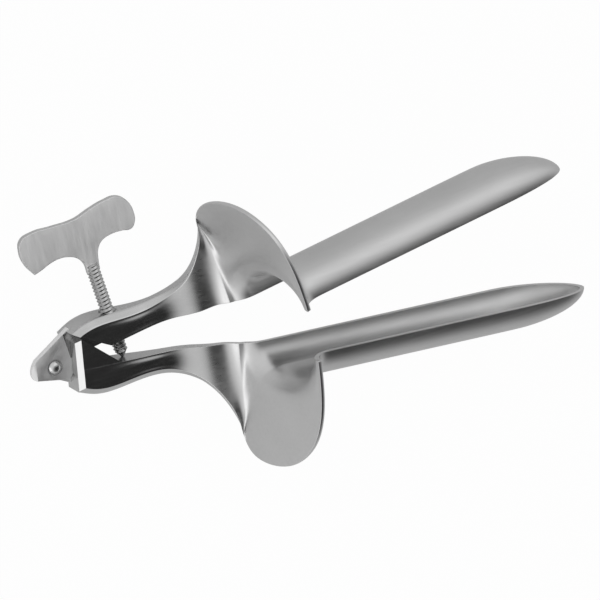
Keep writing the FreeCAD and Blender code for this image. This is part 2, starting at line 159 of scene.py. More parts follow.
tree.links.new(paper.outputs[0], floor_mix.inputs[1])
tree.links.new(glow.outputs[0], floor_mix.inputs[2])
tree.links.new(floor_mix.outputs[0], floor_out.inputs[0])
floor_mesh.materials.append(floor_look)

# Blades
# Two satin stainless pressings, mirror images. Each is a half-elliptic trough with a closed
# round tip, and its mouth rolls out into the tall lip that the operator's hand rests against.

SHEET = 1.6
GAP = 0.15
LUMEN_Z = 37.7
INNER_Z = 11.9
INNER_W = 9.6
BLADE_END = 158.0
TIP = 27.0
TIP_LEAN = 4.7
MOUTH_X = 68.0
LIP_YAW = math.radians(18.0)
ROLL = 8.6
LIP_SLOPE = math.tan(LIP_YAW)
LIP_BACK = Vector((math.cos(LIP_YAW), 0.0, -math.sin(LIP_YAW)))
STEEL_EDGE = 0.55

# Each column runs from the tip along the trough and over the mouth. It has its angle round
# the trough, how far it turns in the roll, and where it ends on the lip's edge (out, along).
COLUMNS = [
    (0.0, 48.0, None), (4.5, 48.5, None), (15.0, 52.0, None), (30.0, 60.0, None),
    (45.0, 70.0, None), (57.0, 79.0, None), (60.0, 81.0, None),
    (75.0, 86.0, (41.0, -16.3)), (90.0, 90.0, (43.3, -7.5)), (105.0, 94.0, (42.4, 2.6)),
    (120.0, 98.0, (37.8, 11.6)), (135.0, 101.0, (30.2, 18.8)), (150.0, 100.0, (20.3, 22.5)),
    (165.0, 92.0, (10.0, 23.4)), (175.5, 84.0, (1.6, 23.2)), (180.0, 82.0, (GAP, 23.1)),
]
ARM_COLUMNS = 7
TIP_ROWS = [84.0, 70.0, 50.0, 28.0, 10.0]
TROUGH_ROWS = [1.0, 0.7, 0.42, 0.18, 0.05]
ROLL_ROWS = [0.0, 0.25, 0.5, 0.75, 1.0]
LIP_ROWS = [0.3, 0.65]


def ring(angle, reach_w, reach_z):
    """A point of the trough's section: out from the mating plane, and along the rivet."""
    return max(GAP, reach_w * math.sin(angle)), LUMEN_Z - reach_z * math.cos(angle)


def lip_point(out, along, behind=0.0):
    """A point of the lip's face, or behind it, from its own two coordinates."""
    z = LUMEN_Z + along * math.cos(LIP_YAW)
    return Vector((MOUTH_X + along * math.sin(LIP_YAW), out, z)) + behind * LIP_BACK


def column(angle, turn, end, free):
    """Front and back points of one column from the tip to the lip's free edge or to the arm."""
    front = []
    rear = []
    for degrees in TIP_ROWS:
        polar = math.radians(degrees)
        shrink = math.cos(polar)
        lean = TIP_LEAN * math.sin(polar) ** 2
        w, z = ring(angle, shrink * INNER_W, shrink * INNER_Z)
        front.append(Vector((BLADE_END + (TIP - SHEET) * math.sin(polar), w, z + lean)))
        w, z = ring(angle, shrink * (INNER_W + SHEET), shrink * (INNER_Z + SHEET))
        rear.append(Vector((BLADE_END + TIP * math.sin(polar), w, z + lean)))

    w_in, z_in = ring(angle, INNER_W, INNER_Z)
    w_out, z_out = ring(angle, INNER_W + SHEET, INNER_Z + SHEET)
    normal = Vector((0.0, math.sin(angle) / INNER_W, -math.cos(angle) / INNER_Z)).normalized()
    face = Vector((LIP_SLOPE * normal.z, normal.y, normal.z)).normalized()
    whole_turn = math.acos(-face.x)
    start = MOUTH_X + LIP_SLOPE * (z_in - LUMEN_Z) + ROLL * math.tan(0.5 * whole_turn)
    for share in TROUGH_ROWS:
        x = start + share * (BLADE_END - start)
        front.append(Vector((x, w_in, z_in)))
        rear.append(Vector((x, w_out, z_out)))

    centre = Vector((start, w_in, z_in)) + ROLL * normal
    for share in ROLL_ROWS:
        polar = share * turn
        spoke = Vector((-math.sin(polar), 0.0, 0.0)) - math.cos(polar) * normal
        front.append(centre + ROLL * spoke)
        rear.append(centre + (ROLL - SHEET) * spoke)
        front[-1].y = max(front[-1].y, GAP)
        rear[-1].y = max(rear[-1].y, GAP)

    last = end[0]
    last_rear = end[1]
    begin = front[-1].copy()
    begin_rear = rear[-1].copy()
    near_edge = 1.0 - STEEL_EDGE / max((last - begin).length, 1.0) if free else 0.86
    for share in LIP_ROWS + [near_edge, 1.0]:
        front.append(begin.lerp(last, share))
        rear.append(begin_rear.lerp(last_rear, share))
    return front, rear


# Arms
# Each arm is a forged and polished bar. Its lug lies in one layer of the lap joint, and towards
# the blade it thins, twists up in a small terrace and runs into the lip as one surface.

ARM_NEAR = [(6.5, 11.2), (7.3, 11.2), (12.0, 11.2), (18.0, 11.2), (25.0, 11.2), (32.0, 11.2),
            (38.5, 11.3), (43.0, 12.3), (46.5, 14.2), (50.0, 16.7), (52.8, 18.1), (55.6, 18.4),
            (58.2, 18.8), (60.3, 20.2), (62.0, 22.2)]
ARM_FAR = [0.0, 0.0, 0.0, 0.35, 1.8, 4.1, 6.3, 7.8, 9.6, 12.2, 14.6, 15.9, 16.7, 18.3, 20.9]
ARM_OUT = [9.6, 9.8, 11.6, 11.9, 10.7, 9.4, 9.0, 9.6, 10.6, 12.5, 15.1, 18.6, 23.0, 28.0, 33.6]
ARM_BEVEL = [2.4, 2.4, 2.4, 2.4, 2.4, 2.3, 2.0, 1.6, 1.2, 0.9, 0.7, 0.5, 0.4, 0.35, 0.3]
ARM_CROWN = [0.0, 0.0, 0.0, 0.3, 0.6, 0.8, 0.6, 0.3, 0.1, 0.0, 0.0, 0.0, 0.0, 0.0, 0.0]
ARM_LIFT = [0.0, 0.0, 0.0, 0.0, 0.0, 0.0, 0.0, 0.0, 0.0, 0.0, 0.3, 1.1, 1.8, 1.4, 0.0]
ARM_SHARES = [0.0, None, 0.25, 0.5, 0.75, None, 1.0]
EDGE_STEP = 0.7


def inner_side(x, inset):
    """How far the arm's inner face stays from the mating plane."""
    share = min(1.0, max(0.0, (x - 36.0) / 16.0))
    return inset + share * (GAP - inset)


def arm_row(index, inset):
    """Front, middle and back points across the arm at one station."""
    x, near = ARM_NEAR[index]
    far = ARM_FAR[index]
    outside = ARM_OUT[index]
    bevel = ARM_BEVEL[index]
    inside = inner_side(x, inset)
    front = []
    rear = []
    for position, share in enumerate(ARM_SHARES):
        if share is None:
            step = EDGE_STEP if position == 1 else -EDGE_STEP - bevel
            w = (inside if position == 1 else outside) + step
            w_rear = (inside if position == 1 else outside) + math.copysign(EDGE_STEP, step)
        else:
            w = inside + share * (outside - bevel - inside)
            w_rear = inside + share * (outside - inside)
        across = (0.04 if position == 1 else 0.97) if share is None else share
        raised = ARM_CROWN[index] * (1.0 - (2.0 * across - 1.0) ** 2) + ARM_LIFT[index] * across
        front.append(Vector((x, w, near + raised)))
        rear.append(Vector((x, w_rear, far + ARM_LIFT[index] * across)))
    outer = Vector((x, outside, near + ARM_LIFT[index] - bevel))
    return front, rear, outer, Vector((x, inside, 0.5 * (near + far)))


def seam_normal(out):
    """Thickness of the sheet across the seam between the lip and the arm."""
    return SHEET * Vector((0.66, 0.0, -0.75)).lerp(LIP_BACK, min(1.0, out / 60.0)).normalized()


def valve_cage(inset, lip_share, far_corner):
    """Faces and vertices of one valve: blade faces first, then the arm's, and soft creases."""
    points = []
    faces = []
    creases = {}

    def put(point):
        points.append(point)
        return len(points) - 1

    seam_front, seam_rear, seam_mid, seam_inner = arm_row(len(ARM_NEAR) - 1, inset)
    for index, point in enumerate(seam_front):
        seam_rear[index] = point + seam_normal(point.y)
    corner = lip_point(lip_share * far_corner[0], far_corner[1])
    seam_front[-1] = corner
    seam_rear[-1] = corner + SHEET * LIP_BACK
    seam_front[-2] = corner - Vector((0.0, EDGE_STEP, 0.0))
    seam_rear[-2] = seam_front[-2] + SHEET * LIP_BACK

    front = []
    rear = []
    for position, (degrees, turn, end) in enumerate(COLUMNS):
        if end is None:
            ends = (seam_front[position], seam_rear[position])
        else:
            ends = (lip_point(lip_share * end[0], end[1]), lip_point(lip_share * end[0], end[1], SHEET))
        line, line_rear = column(math.radians(degrees), math.radians(turn), ends, end is not None)
        front.append([put(point) for point in line])
        rear.append([put(point) for point in line_rear])
    pole = put(Vector((BLADE_END + TIP - SHEET, GAP, LUMEN_Z + TIP_LEAN)))
    pole_rear = put(Vector((BLADE_END + TIP, GAP, LUMEN_Z + TIP_LEAN)))

    for left in range(len(COLUMNS) - 1):
        faces.append((pole, front[left][0], front[left + 1][0]))
        faces.append((pole_rear, rear[left + 1][0], rear[left][0]))
        for row in range(len(front[0]) - 1):
            faces.append((front[left][row], front[left][row + 1],
                          front[left + 1][row + 1], front[left + 1][row]))
            faces.append((rear[left][row + 1], rear[left][row],
                          rear[left + 1][row], rear[left + 1][row + 1]))

    stations = []
    for index in range(len(ARM_NEAR) - 1):
        line, line_rear, outer, inner = arm_row(index, inset)
        stations.append(([put(p) for p in line], [put(p) for p in line_rear], put(outer), put(inner)))
    last_row = len(front[0]) - 1
    stations.append(([front[c][last_row] for c in range(ARM_COLUMNS)],
                     [rear[c][last_row] for c in range(ARM_COLUMNS)], None, None))
    arm_faces_from = len(faces)
    for (here, here_rear, _, _), (there, there_rear, _, _) in zip(stations, stations[1:]):
        for c in range(ARM_COLUMNS - 1):
            faces.append((here[c], here[c + 1], there[c + 1], there[c]))
            faces.append((here_rear[c + 1], here_rear[c], there_rear[c], there_rear[c + 1]))
    arm_faces_to = len(faces)

    # The edge runs round the valve once: along the arm, the far rim, the near rim and the lip.
    edge = [(station[0][0], station[1][0], station[3], "inner") for station in stations[:-1]]
    edge += [(front[0][row], rear[0][row], None, "rim") for row in range(last_row, -1, -1)]
    edge += [(pole, pole_rear, None, "rim")]
    edge += [(front[-1][row], rear[-1][row], None, "rim") for row in range(last_row + 1)]
    edge += [(front[c][last_row], rear[c][last_row], None, "lip")
             for c in range(len(COLUMNS) - 2, ARM_COLUMNS - 2, -1)]
    edge += [(station[0][-1], station[1][-1], station[2], "outer") for station in stations[-2::-1]]
    end_front, end_rear = stations[0][0], stations[0][1]
    edge += [(end_front[c], end_rear[c], None, "end") for c in range(ARM_COLUMNS - 2, 0, -1)]

    middles = []
    for near_point, far_point, middle, kind in edge:
        if middle is None:
            centre = 0.5 * (points[near_point] + points[far_point])
            if kind == "lip":
                spread = Vector((0.0, centre.y - 16.0, centre.z - LUMEN_Z - 1.0)).normalized()
                centre += 0.3 * spread
            middle = put(centre)
        middles.append(middle)
    side_from = len(faces)
    arm_side = []
    count = len(edge)
    for index in range(count):
        after = (index + 1) % count
        near_a, far_a, _, kind_a = edge[index]
        near_b, far_b, _, kind_b = edge[after]
        faces.append((near_a, near_b, middles[after], middles[index]))
        faces.append((middles[index], middles[after], far_b, far_a))
        on_arm = {kind_a, kind_b} & {"inner", "outer", "end"}
        arm_side.append(bool(on_arm))
        arm_side.append(bool(on_arm))
        crisp = 0.95 if on_arm else 0.35
        x = 0.5 * (points[near_a].x + points[near_b].x)
        if on_arm and x > 40.0:
            crisp = max(0.35, 0.95 - 0.05 * (x - 40.0))
        creases[(near_a, near_b)] = crisp
        creases[(far_a, far_b)] = crisp
        if kind_a == "outer" and kind_b == "outer":
            creases[(middles[index], middles[after])] = crisp
    for corner_index in (0, len(edge) - (ARM_COLUMNS - 2) - 1):
        near_a, far_a, _, _ = edge[corner_index]
        creases[(near_a, middles[corner_index])] = 1.0
        creases[(middles[corner_index], far_a)] = 1.0
    on_arm = [arm_faces_from <= index < arm_faces_to for index in range(side_from)] + arm_side
    return points, faces, on_arm, creases


def in_place(side):
    """Turns drawn valve coordinates, in millimetres, into the part's place at rest."""
    half_opening = math.radians(6.85)
    flip = Matrix.Diagonal((1.0, side, 1.0, 1.0))
    return Matrix.Scale(0.001, 4) @ Matrix.Rotation(side * half_opening, 4, "Z") @ flip


def add_object(name, mesh):
    item = bpy.data.objects.new(name, mesh)
    bpy.context.scene.collection.objects.link(item)
    return item


def finished(item):
    """The object's mesh with its modifiers worked in, which are then gone."""
    depsgraph = bpy.context.evaluated_depsgraph_get()
    mesh = bpy.data.meshes.new_from_object(item.evaluated_get(depsgraph), depsgraph=depsgraph)
    item.modifiers.clear()
    item.data = mesh
    return item


def cap_strip(work):
    """Closes the one open edge, a long thin ring, with a row of faces from side to side."""
    rim = [item for item in work.edges if item.is_boundary]
    ring = [rim[0].verts[0], rim[0].verts[1]]
    while ring[-1] is not ring[0]:
        onward = [item for item in ring[-1].link_edges
                  if item.is_boundary and ring[-2] not in item.verts]
        ring.append(onward[0].other_vert(ring[-1]))
    ring.pop()
    count = len(ring)

    def width(start):
        return sum((ring[(start + k) % count].co - ring[(start - k) % count].co).length
                   for k in range(count // 2))

    start = min(range(count // 2), key=width)
    for k in range(count // 2):
        corners = [ring[(start + k) % count], ring[(start + k + 1) % count],
                   ring[(start - k - 1) % count], ring[(start - k) % count]]
        work.faces.new(dict.fromkeys(corners))


def keep_faces(mesh, name, wanted):
    """A copy with only the faces of one material index, its open ends capped."""
    work = bmesh.new()
    work.from_mesh(mesh)
    drop = [face for face in work.faces if face.material_index != wanted]
    bmesh.ops.delete(work, geom=drop, context="FACES")
    cap_strip(work)
    for face in work.faces:
        face.material_index = 0
        face.smooth = True
    bmesh.ops.recalc_face_normals(work, faces=work.faces)
    if work.calc_volume(signed=True) < 0.0:
        bmesh.ops.reverse_faces(work, faces=work.faces)
    part = bpy.data.meshes.new(name)
    work.to_mesh(part)
    work.free()
    return part


def make_valve(inset, lip_share, far_corner):
    points, faces, on_arm, creases = valve_cage(inset, lip_share, far_corner)
    mesh = bpy.data.meshes.new("valve")
    mesh.from_pydata([tuple(point) for point in points], [], faces)
    for polygon, arm in zip(mesh.polygons, on_arm):
        polygon.material_index = 1 if arm else 0
    work = bmesh.new()
    work.from_mesh(mesh)
    work.verts.ensure_lookup_table()
    crease = work.edges.layers.float.new("crease_edge")
    for (first, second), amount in creases.items():
        shared = work.edges.get((work.verts[first], work.verts[second]))
        if shared is not None:
            shared[crease] = amount
    bmesh.ops.recalc_face_normals(work, faces=work.faces)
    work.to_mesh(mesh)
    work.free()
    valve = add_object("valve", mesh)
    smooth = valve.modifiers.new("smooth", "SUBSURF")
    smooth.levels = 3
    smooth.render_levels = 3
    finished(valve)
    blade_points = {v for polygon in valve.data.polygons if polygon.material_index == 0
                    for v in polygon.vertices}
    arm_points = {v for polygon in valve.data.polygons if polygon.material_index == 1
                  for v in polygon.vertices}
    seam = [(valve.data.vertices[v].co.copy(), valve.data.vertices[v].normal.copy())
            for v in sorted(blade_points & arm_points)]
    blade = add_object("blade", keep_faces(valve.data, "blade", 0))
    arm = add_object("arm", keep_faces(valve.data, "arm", 1))
    bpy.data.objects.remove(valve)
    return blade, arm, seam


def blend_seam(mesh, seam, place):
    """Both pieces take the normals of the one smooth surface along the line where they meet."""
    spots = KDTree(len(seam))
    for index, (point, _) in enumerate(seam):
        spots.insert(place @ point, index)
    spots.balance()
    turn = place.to_3x3().inverted().transposed()
    normals = [Vector(item.vector) for item in mesh.corner_normals]
    for polygon in mesh.polygons:
        for corner in polygon.loop_indices:
            _, index, distance = spots.find(mesh.vertices[mesh.loops[corner].vertex_index].co)
            if distance < 0.00002:
                smooth = (turn @ seam[index][1]).normalized()
                if smooth.dot(polygon.normal) > 0.7:
                    normals[corner] = smooth
    mesh.normals_split_custom_set(normals)


# Lap joint
# The upper lug lies on the lower one, each a flat tongue with its end rounded and its edges
# broken. The lower arm's near block overhangs, and its sloping seat is the closed stop.

LUG_THICK = 2.55
LAP_GAP = 0.1
LUG_RADIUS = 7.4
LUG_INSET = 1.6
SWING = LUG_RADIUS + 0.3
ARM_THICK = 11.2
HUMP = 11.6
UPPER_INSET = 0.6
LOWER_INSET = 1.2
LOWER_TRIM = 2.4
SEAT_DISTANCE = 13.0
SEAT_ANGLE = math.radians(51.35)
SEAT_GAP = 0.05
PIN_HOLE = 1.65
RECESS = 2.85
RECESS_DEPTH = 0.8
SCREW_X = 24.5
SCREW_Z = 5.6
SCREW_HOLE = 2.5
SLAB = 30.0
BLOCK_END = 6.5
BLOCK_CORNER = 8.6
ROOT_END = 40.0
COPLANAR_STEP = 0.03
CUT_REACH = 0.001
SLIVER = 0.002
LUG_TIP_X = 8.0
LUG_TIP_W = -1.8
LUG_MIDDLE_X = 8.4
LUG_MIDDLE_W = 1.5
LUG_MIDDLE_TRIM = 0.958
LUG_CORNER_X = 5.8
LUG_CORNER_W = 5.0
LUG_SHOULDER_X = 9.3
LUG_ROOT_X = 14.0
LUG_EDGE = 0.25
LUG_BEVEL = 1.1
LUG_BEVEL_X = 8.5
BLOCK_BEVEL = 1.8
SCREW_MOUTH = 0.7
PEEN = 2.3
PEEN_DEPTH = 0.7
RIVET_HOLE = 1.6
ROUND_STEPS = 64
CRISP = math.radians(28.0)


along_screw = Matrix.Translation((SCREW_X, 0.0, SCREW_Z)) @ Matrix.Rotation(math.radians(-90), 4, "X")


def prism(outline, low, high):
    """A closed block over a flat outline in x and out, between two heights."""
    work = bmesh.new()
    floor_ring = [work.verts.new((x, w, low)) for x, w in outline]
    roof_ring = [work.verts.new((x, w, high)) for x, w in outline]
    work.faces.new(floor_ring)
    work.faces.new(roof_ring)
    for index in range(len(outline)):
        after = (index + 1) % len(outline)
        work.faces.new((floor_ring[index], floor_ring[after], roof_ring[after], roof_ring[index]))
    bmesh.ops.recalc_face_normals(work, faces=work.faces)
    mesh = bpy.data.meshes.new("prism")
    work.to_mesh(mesh)
    work.free()
    return add_object("prism", mesh)


def turned(profile, place=Matrix.Identity(4)):
    """A closed turned piece about its own Z: the profile is (radius, height) from axis to axis."""
    work = bmesh.new()
    rings = []
    for radius, height in profile:
        if radius == 0.0:
            rings.append([work.verts.new((0.0, 0.0, height))])
            continue
        rings.append([work.verts.new((radius * math.cos(2 * math.pi * k / ROUND_STEPS),
                                      radius * math.sin(2 * math.pi * k / ROUND_STEPS), height))
                      for k in range(ROUND_STEPS)])
    for here, there in zip(rings, rings[1:]):
        for k in range(ROUND_STEPS):
            after = (k + 1) % ROUND_STEPS
            corners = [here[k % len(here)], here[after % len(here)],
                       there[after % len(there)], there[k % len(there)]]
            if here is there or (len(here) == 1 and len(there) == 1):
                continue
            work.faces.new(dict.fromkeys(corners))
    bmesh.ops.recalc_face_normals(work, faces=work.faces)
    work.transform(place)
    mesh = bpy.data.meshes.new("turned")
    work.to_mesh(mesh)
    work.free()
    return add_object("turned", mesh)


def break_edges(item, width):
    """Small rounds along the sharp edges of a block."""
    edge = item.modifiers.new("edges", "BEVEL")
    edge.width = width
    edge.segments = 2
    edge.limit_method = "ANGLE"
    edge.angle_limit = CRISP
    return finished(item)


def combine(target, tool, operation):
    """Joins a closed tool to the target, or takes it away, and deletes the tool."""
    step = target.modifiers.new("step", "BOOLEAN")
    step.operation = operation
    step.solver = "EXACT"
    step.object = tool
    finished(target)
    bpy.data.objects.remove(tool)


def cut_across(work, x, keep_beyond):
    """Cuts the mesh square across its length and drops one side, leaving the cut open."""
    everything = work.verts[:] + work.edges[:] + work.faces[:]
    bmesh.ops.bisect_plane(work, geom=everything, plane_co=(x, 0.0, 0.0), plane_no=(1.0, 0.0, 0.0),
                           clear_outer=not keep_beyond, clear_inner=keep_beyond)


def shape_root(arm, cuts):
    """The joint's cuts are made on the root alone, which is then joined to the rest again."""
    rest = bmesh.new()
    rest.from_mesh(arm.data)
    cut_across(rest, ROOT_END, True)
    rest_mesh = bpy.data.meshes.new("rest")
    rest.to_mesh(rest_mesh)
    rest.free()
    root = bmesh.new()
    root.from_mesh(arm.data)
    cut_across(root, ROOT_END, False)
    bmesh.ops.holes_fill(root, edges=[item for item in root.edges if item.is_boundary], sides=0)
    root.to_mesh(arm.data)
    root.free()
    cuts(arm)
    whole = bmesh.new()
    whole.from_mesh(arm.data)
    cap = [face for face in whole.faces if all(abs(v.co.x - ROOT_END) < CUT_REACH for v in face.verts)]
    bmesh.ops.delete(whole, geom=cap, context="FACES")
    whole.from_mesh(rest_mesh)
    seam = [vert for vert in whole.verts if abs(vert.co.x - ROOT_END) < CUT_REACH]
    bmesh.ops.remove_doubles(whole, verts=seam, dist=CUT_REACH)
    bmesh.ops.dissolve_degenerate(whole, edges=whole.edges, dist=SLIVER)
    slits = [item for item in whole.edges if item.is_boundary]
    bmesh.ops.holes_fill(whole, edges=slits, sides=0)
    bmesh.ops.recalc_face_normals(whole, faces=whole.faces)
    whole.to_mesh(arm.data)
    whole.free()


def seat_x(w, gap=0.0):
    return (SEAT_DISTANCE + gap - w * math.sin(SEAT_ANGLE)) / math.cos(SEAT_ANGLE)


def lug(low, trim):
    """The flat lug, with its rounded end and the round inner side that clears the other arm."""
    inner_x = 0.49 * LUG_RADIUS
    inner_angle = -math.acos(inner_x / LUG_RADIUS)
    stop_angle = math.asin(LUG_INSET / LUG_RADIUS)
    arc_steps = 24
    arc = []
    for step in range(arc_steps + 1):
        angle = stop_angle + (inner_angle - stop_angle) * step / arc_steps
        arc.append((LUG_RADIUS * math.cos(angle), LUG_RADIUS * math.sin(angle)))
    first = Vector((trim - LUG_TIP_X, LUG_TIP_W))
    middle = Vector((LUG_MIDDLE_TRIM * trim - LUG_MIDDLE_X, LUG_MIDDLE_W - trim))
    last = Vector((-LUG_CORNER_X + 0.5 * trim, LUG_CORNER_W - trim))
    end_steps = 10
    end = []
    for step in range(end_steps + 1):
        share = step / end_steps
        bend = 2.0 * middle - 0.5 * (first + last)
        end.append(first.lerp(bend, share).lerp(bend.lerp(last, share), share)[:])
    outline = arc + end + [(LUG_SHOULDER_X, 0.96 * HUMP - trim), (LUG_ROOT_X, 0.9 * HUMP),
                           (LUG_ROOT_X, LUG_INSET)]
    return break_edges(prism(outline, low, low + LUG_THICK), LUG_EDGE)


def tilted_slab(place, turns):
    """A big block whose flat underside, put at a place and turned, planes a slope."""
    slab = prism([(-SLAB, -SLAB), (SLAB, -SLAB), (SLAB, SLAB), (-SLAB, SLAB)], 0.0, SLAB)
    spin = Matrix.Identity(4)
    for degrees, axis in turns:
        spin = spin @ Matrix.Rotation(math.radians(degrees), 4, axis)
    slab.data.transform(Matrix.Translation(place) @ spin)
    return slab


def upper_root(arm):
    """The upper arm's end: far layer cleared for the other lug, seat cut, lug and holes."""
    layer = LUG_THICK + LAP_GAP
    top = layer + LUG_THICK
    combine(arm, turned([(0.0, -1.0), (SWING, -1.0), (SWING, layer), (0.0, layer)]), "DIFFERENCE")
    wedge = [(seat_x(-5.0, SEAT_GAP), -5.0), (seat_x(25.0, SEAT_GAP), 25.0),
             (-40.0, 25.0), (-40.0, -5.0)]
    combine(arm, prism(wedge, top, 2 * ARM_THICK), "DIFFERENCE")
    combine(arm, lug(layer, 0.0), "UNION")
    point_slope = tilted_slab((-LUG_BEVEL_X, 1.0, top - LUG_BEVEL), [(-12, "Z"), (-33, "Y")])
    combine(arm, point_slope, "DIFFERENCE")
    rivet_hole = [(0.0, 0.0), (PIN_HOLE, 0.0), (PIN_HOLE, top - RECESS_DEPTH),
                  (RECESS, top - RECESS_DEPTH), (RECESS, top + 1.0), (0.0, top + 1.0)]
    combine(arm, turned(rivet_hole), "DIFFERENCE")
    outside = HUMP - 1.5
    screw_hole = [(0.0, -2.0), (SCREW_HOLE, -2.0), (SCREW_HOLE, outside - SCREW_MOUTH),
                  (SCREW_HOLE + SCREW_MOUTH, outside), (SCREW_HOLE + SCREW_MOUTH, 2 * HUMP),
                  (0.0, 2 * HUMP)]
    combine(arm, turned(screw_hole, along_screw), "DIFFERENCE")


def lower_root(arm):
    """The lower arm's end: cleared for the other lug, with its own lug and the near block."""
    block_floor = 2 * (LUG_THICK + LAP_GAP)
    other_layer = [(0.0, LUG_THICK), (SWING, LUG_THICK), (SWING, block_floor), (0.0, block_floor)]
    combine(arm, turned(other_layer), "DIFFERENCE")
    combine(arm, lug(COPLANAR_STEP, LOWER_TRIM), "UNION")
    corner_w = (SEAT_DISTANCE - BLOCK_CORNER * math.cos(SEAT_ANGLE)) / math.sin(SEAT_ANGLE)
    block = [(BLOCK_END, 5.0), (BLOCK_END, 1.4 - corner_w), (BLOCK_CORNER, -corner_w),
             (seat_x(-LOWER_INSET), LOWER_INSET), (seat_x(-LOWER_INSET), LOWER_INSET + 3.0)]
    combine(arm, prism(block, block_floor, ARM_THICK - COPLANAR_STEP), "UNION")
    combine(arm, tilted_slab((BLOCK_END, 0.0, ARM_THICK - BLOCK_BEVEL), [(-45, "Y")]), "DIFFERENCE")
    peened_hole = [(0.0, -1.0), (PEEN, -1.0), (PEEN, 0.0), (RIVET_HOLE, PEEN_DEPTH),
                   (RIVET_HOLE, 4.0), (0.0, 4.0)]
    combine(arm, turned(peened_hole), "DIFFERENCE")


def steel(name, grey, roughness, streak_scale, streak_depth, spread, becomes=None):
    """Brushed stainless: fine streaks in tone, gloss and relief, and broad soft variation.

    The finish may pass along the part's X into another grey and roughness.
    """
    look = bpy.data.materials.new(name)
    look.use_nodes = True
    tree = look.node_tree
    shader = tree.nodes["Principled BSDF"]
    shader.inputs["Metallic"].default_value = 1.0
    place = node(tree, "ShaderNodeTexCoord")
    stretch = node(tree, "ShaderNodeMapping")
    stretch.inputs["Scale"].default_value = streak_scale
    streaks = node(tree, "ShaderNodeTexNoise", {"Scale": 1.0, "Detail": 5.0, "Roughness": 0.6})
    broad = node(tree, "ShaderNodeTexNoise", {"Scale": 55.0, "Detail": 2.0})
    tone = node(tree, "ShaderNodeMapRange", place={
        "From Min": 0.3, "From Max": 0.7, "To Min": grey - spread, "To Max": grey + spread})
    mixed = node(tree, "ShaderNodeMath", operation="ADD")
    halved = node(tree, "ShaderNodeMath", operation="MULTIPLY")
    halved.inputs[1].default_value = 0.5
    gloss = node(tree, "ShaderNodeMapRange", place={
        "From Min": 0.3, "From Max": 0.7, "To Min": roughness - 0.05, "To Max": roughness + 0.06})
    colour = node(tree, "ShaderNodeCombineColor")
    relief = node(tree, "ShaderNodeBump", {"Strength": 0.35, "Distance": streak_depth})
    tone_out = tone.outputs[0]
    gloss_out = gloss.outputs[0]
    if becomes is not None:
        far_grey, far_roughness, begins, ends = becomes
        apart = node(tree, "ShaderNodeSeparateXYZ")
        tree.links.new(place.outputs["Object"], apart.inputs[0])
        for change, source in ((far_grey - grey, tone), (far_roughness - roughness, gloss)):
            pass_over = node(tree, "ShaderNodeMapRange", interpolation_type="SMOOTHSTEP", place={
                "From Min": begins, "From Max": ends, "To Min": 0.0, "To Max": change})
            added = node(tree, "ShaderNodeMath", operation="ADD")
            tree.links.new(apart.outputs["X"], pass_over.inputs["Value"])
            tree.links.new(source.outputs[0], added.inputs[0])
            tree.links.new(pass_over.outputs[0], added.inputs[1])
            if source is tone:
                tone_out = added.outputs[0]
            else:
                gloss_out = added.outputs[0]
    tree.links.new(place.outputs["Object"], stretch.inputs["Vector"])
    tree.links.new(stretch.outputs[0], streaks.inputs["Vector"])
    tree.links.new(place.outputs["Object"], broad.inputs["Vector"])
    tree.links.new(streaks.outputs[0], mixed.inputs[0])
    tree.links.new(broad.outputs[0], mixed.inputs[1])
    tree.links.new(mixed.outputs[0], halved.inputs[0])
    tree.links.new(halved.outputs[0], tone.inputs["Value"])
    tree.links.new(streaks.outputs[0], gloss.inputs["Value"])
    for channel in ("Red", "Green", "Blue"):
        tree.links.new(tone_out, colour.inputs[channel])
    tree.links.new(colour.outputs[0], shader.inputs["Base Color"])
    tree.links.new(gloss_out, shader.inputs["Roughness"])
    tree.links.new(streaks.outputs[0], relief.inputs["Height"])
    tree.links.new(relief.outputs[0], shader.inputs["Normal"])
    return look


def dress(item, name, body, nodes, looks, side=1.0):
    """Puts a drawn piece in its place, smooth with crisp corners, on its body."""
    item.name = name
    item.data.name = name
    item.data.transform(in_place(side))
    if side < 0:
        item.data.flip_normals()
    item.data.shade_smooth()
    item.data.set_sharp_from_angle(angle=CRISP)
    finish = [polygon.material_index for polygon in item.data.polygons]
    item.data.materials.clear()
    for steel_finish in looks:
        item.data.materials.append(steel_finish)
    item.data.polygons.foreach_set("material_index", [min(index, len(looks) - 1) for index in finish])
    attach(item, body)
    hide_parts(*nodes)


def mark_lug(arm):
    """The faces of the lug take the satin finish of the lap joint, beside the polished bar, and a grey
    far lighter than the bar's that is painted light.
    """
    for polygon in arm.data.polygons:
        polygon.material_index = 1 if polygon.center.x < BLOCK_END - 0.1 else 0


blade_steel = steel("satin_steel", 0.57, 0.33, (60.0, 900.0, 900.0), 0.00001, 0.03,
                    (0.55, 0.42, 0.068, 0.092))
arm_steel = steel("polished_steel", 0.5, 0.2, (90.0, 1200.0, 1200.0), 0.00001, 0.03,
                  (0.57, 0.33, 0.046, 0.058))
# The lug's satin roughness is its finish; its grey of 0.85, far above the bar's 0.5, is painted light.
lug_painted_light_steel = steel("satin_lug_painted_light_steel", 0.85, 0.58, (500.0, 500.0, 500.0), 0.00001, 0.03)
VALVES = (
    ("upper", 1.0, UPPER_INSET, 0.93, (35.3, -21.5), upper_root),
    ("lower", -1.0, LOWER_INSET, 1.0, (34.6, -19.7), lower_root),
)
for name, side, inset, lip_share, far_corner, root in VALVES:
    blade, arm, seam = make_valve(inset, lip_share, far_corner)
    shape_root(arm, root)
    mark_lug(arm)
    dress(blade, f"{name}_blade_shell", f"{name}_valve", [f"{name}_blade"],
          [blade_steel], side)
    dress(arm, f"{name}_arm_bar", f"{name}_valve", [f"{name}_arm"],
          [arm_steel, lug_painted_light_steel], side)
    for item in (blade, arm):
        blend_seam(item.data, seam, in_place(side))

# Pivot rivet
# A turned pin with a low domed head in the upper lug's recess, peened flush at the far side.

RIVET_HEAD = 2.3
RIVET_SHANK = 1.6
RIVET_TOP = 2 * LUG_THICK + LAP_GAP
RIVET_RIM = RIVET_TOP + 0.2
RIVET_CROWN = RIVET_TOP + 1.5

